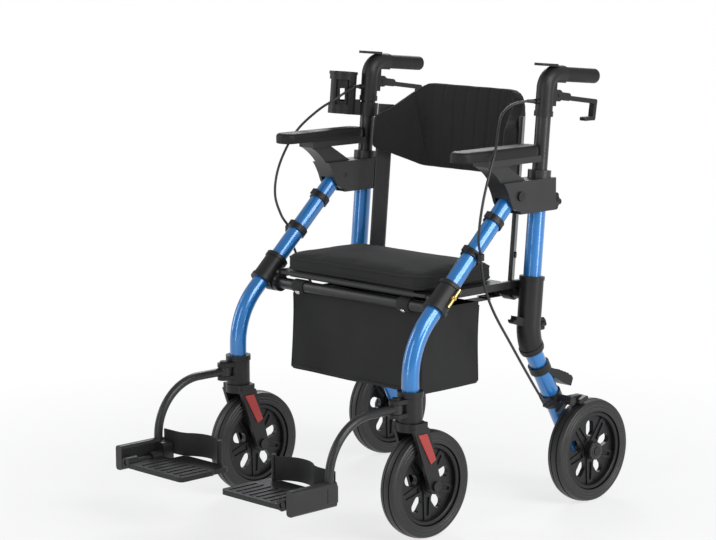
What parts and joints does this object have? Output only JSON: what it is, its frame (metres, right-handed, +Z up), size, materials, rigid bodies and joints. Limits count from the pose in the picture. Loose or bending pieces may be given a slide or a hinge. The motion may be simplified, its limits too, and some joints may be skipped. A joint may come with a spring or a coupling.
{
  "type": "rollator transport chair",
  "caption": "Folding wheeled walking frame with seat, curved padded backrest, armrests, hand brakes, under-seat bag, cup holder and swing-away footrests.",
  "frame": {"origin": "middle of the bounding box on the floor that the wheels stand on", "axes": "+X to the left hand of a seated person, +Y to the rear where the walker stands, +Z up"},
  "size_m": [0.598, 0.8384, 0.8459],
  "materials": {
    "frame_paint": "gloss azure metallic paint",
    "black_metal": "satin black powder coat",
    "black_plastic": "fine-grained black moulding",
    "armrest_foam": "black skinned foam",
    "grip_rubber": "soft black rubber",
    "tyre": "matte black solid tyre",
    "hub_plastic": "black moulded wheel",
    "red_plastic": "gloss red insert",
    "steel": "zinc-plated steel",
    "brass": "plain brass",
    "cloth": "charcoal woven nylon",
    "seat_cover": "charcoal coated cloth",
    "cable": "black cable sheath"
  },
  "bodies": {
    "rear_frame": {"rear_tube_l": "frame_paint", "rear_tube_r": "frame_paint", "rear_sleeves": "black_plastic", "rear_rail": "black_metal", "armrest_bracket_l": "black_plastic", "armrest_bracket_r": "black_plastic", "armrest_pad_l": "armrest_foam", "armrest_pad_r": "armrest_foam", "fold_pins": "steel", "tip_pedals": "black_plastic", "rear_axles": "steel", "brake_mounts": "black_metal", "backrest_posts": "black_metal", "backrest_pad": "cloth", "brake_cable_l": "cable", "brake_cable_r": "cable"},
    "front_frame": {"front_leg_l": "frame_paint", "front_leg_r": "frame_paint", "leg_clips": "black_plastic", "seat_joints": "black_plastic", "front_rail": "black_metal", "spring_pins": "brass", "caster_head_l": "black_plastic", "caster_head_r": "black_plastic", "bag": "cloth"},
    "seat": {"seat_frame": "black_metal", "seat_pad": "seat_cover"},
    "handle_l": {"handle_tube_l": "black_metal", "handle_head_l": "black_plastic", "grip_l": "grip_rubber"},
    "lever_l": {"brake_lever_l": "black_plastic"},
    "brake_l": {"brake_arm_l": "black_plastic"},
    "knob_l": {"height_knob_l": "black_plastic"},
    "rear_wheel_l": {"rear_tyre_l": "tyre", "rear_hub_l": "hub_plastic"},
    "caster_l": {"caster_fork_l": "black_plastic", "fork_inserts_l": "red_plastic", "front_axle_l": "steel"},
    "front_wheel_l": {"front_tyre_l": "tyre", "front_hub_l": "hub_plastic"},
    "legrest_l": {"hanger_l": "black_metal"},
    "footrest_l": {"foot_plate_l": "black_plastic", "heel_strap_l": "cloth"},
    "handle_r": {"handle_tube_r": "black_metal", "handle_head_r": "black_plastic", "grip_r": "grip_rubber", "cup_holder": "black_plastic"},
    "lever_r": {"brake_lever_r": "black_plastic"},
    "brake_r": {"brake_arm_r": "black_plastic"},
    "knob_r": {"height_knob_r": "black_plastic"},
    "rear_wheel_r": {"rear_tyre_r": "tyre", "rear_hub_r": "hub_plastic"},
    "caster_r": {"caster_fork_r": "black_plastic", "fork_inserts_r": "red_plastic", "front_axle_r": "steel"},
    "front_wheel_r": {"front_tyre_r": "tyre", "front_hub_r": "hub_plastic"},
    "legrest_r": {"hanger_r": "black_metal"},
    "footrest_r": {"foot_plate_r": "black_plastic", "heel_strap_r": "cloth"}
  },
  "joints": [
    {"name": "fold", "type": "hinge", "parent": "rear_frame", "child": "front_frame", "pos_m": [0, 0.1402, 0.605], "axis": [1, 0, 0], "range_deg": [0, 22], "deforming": ["bag", "brake_cable_l", "brake_cable_r"]},
    {"name": "seat_fold", "type": "hinge", "parent": "front_frame", "child": "seat", "pos_m": [0, -0.0428, 0.412], "axis": [1, 0, 0], "range_deg": [0, 44]},
    {"name": "handle_height_l", "type": "slide", "parent": "rear_frame", "child": "handle_l", "axis": [0, 0.0924, 0.9957], "range_m": [0, 0.1], "deforming": ["brake_cable_l"]},
    {"name": "brake_lever_l", "type": "hinge", "parent": "handle_l", "child": "lever_l", "pos_m": [0.234, 0.25731, 0.78268], "axis": [1, 0, 0], "range_deg": [0, 12], "stiffness_Nm_per_rad": 1.5, "springref_deg": -2.86},
    {"name": "brake_arm_l", "type": "hinge", "parent": "rear_frame", "child": "brake_l", "pos_m": [0.234, 0.25882, 0.20601], "axis": [-1, 0, 0], "range_deg": [0, 3.5]},
    {"name": "height_knob_l", "type": "hinge", "parent": "rear_frame", "child": "knob_l", "pos_m": [0.234, 0.21213, 0.588], "axis": [0, 0.9957, -0.0924], "range_deg": [0, 360]},
    {"name": "rear_wheel_l", "type": "hinge", "parent": "rear_frame", "child": "rear_wheel_l", "pos_m": [0.273, 0.3192, 0.1], "axis": [1, 0, 0], "continuous": true},
    {"name": "caster_l", "type": "hinge", "parent": "front_frame", "child": "caster_l", "pos_m": [0.234, -0.1248, 0.22], "axis": [0, 0, 1], "continuous": true},
    {"name": "front_wheel_l", "type": "hinge", "parent": "caster_l", "child": "front_wheel_l", "pos_m": [0.234, -0.0878, 0.1], "axis": [1, 0, 0], "continuous": true},
    {"name": "legrest_swing_l", "type": "hinge", "parent": "front_frame", "child": "legrest_l", "pos_m": [0.234, -0.1608, 0.25], "axis": [0, 0, 1], "range_deg": [0, 90]},
    {"name": "foot_flip_l", "type": "hinge", "parent": "legrest_l", "child": "footrest_l", "pos_m": [0.214, -0.3748, 0.118], "axis": [0, 1, 0], "range_deg": [0, 90], "deforming": ["heel_strap_l"]},
    {"name": "handle_height_r", "type": "slide", "parent": "rear_frame", "child": "handle_r", "axis": [0, 0.0924, 0.9957], "range_m": [0, 0.1], "deforming": ["brake_cable_r"]},
    {"name": "brake_lever_r", "type": "hinge", "parent": "handle_r", "child": "lever_r", "pos_m": [-0.234, 0.25731, 0.78268], "axis": [1, 0, 0], "range_deg": [0, 12], "stiffness_Nm_per_rad": 1.5, "springref_deg": -2.86},
    {"name": "brake_arm_r", "type": "hinge", "parent": "rear_frame", "child": "brake_r", "pos_m": [-0.234, 0.25882, 0.20601], "axis": [-1, 0, 0], "range_deg": [0, 3.5]},
    {"name": "height_knob_r", "type": "hinge", "parent": "rear_frame", "child": "knob_r", "pos_m": [-0.234, 0.21213, 0.588], "axis": [0, 0.9957, -0.0924], "range_deg": [0, 360]},
    {"name": "rear_wheel_r", "type": "hinge", "parent": "rear_frame", "child": "rear_wheel_r", "pos_m": [-0.273, 0.3192, 0.1], "axis": [1, 0, 0], "continuous": true},
    {"name": "caster_r", "type": "hinge", "parent": "front_frame", "child": "caster_r", "pos_m": [-0.234, -0.1248, 0.22], "axis": [0, 0, 1], "continuous": true},
    {"name": "front_wheel_r", "type": "hinge", "parent": "caster_r", "child": "front_wheel_r", "pos_m": [-0.234, -0.0878, 0.1], "axis": [1, 0, 0], "continuous": true},
    {"name": "legrest_swing_r", "type": "hinge", "parent": "front_frame", "child": "legrest_r", "pos_m": [-0.234, -0.1608, 0.25], "axis": [0, 0, -1], "range_deg": [0, 90]},
    {"name": "foot_flip_r", "type": "hinge", "parent": "legrest_r", "child": "footrest_r", "pos_m": [-0.214, -0.3748, 0.118], "axis": [0, -1, 0], "range_deg": [0, 90], "deforming": ["heel_strap_r"]}
  ],
  "couplings": [
    {"joint": "seat_fold", "follows": "fold", "ratio": 2},
    {"joint": "brake_arm_l", "follows": "brake_lever_l", "ratio": 0.28},
    {"joint": "brake_arm_r", "follows": "brake_lever_r", "ratio": 0.28}
  ]
}
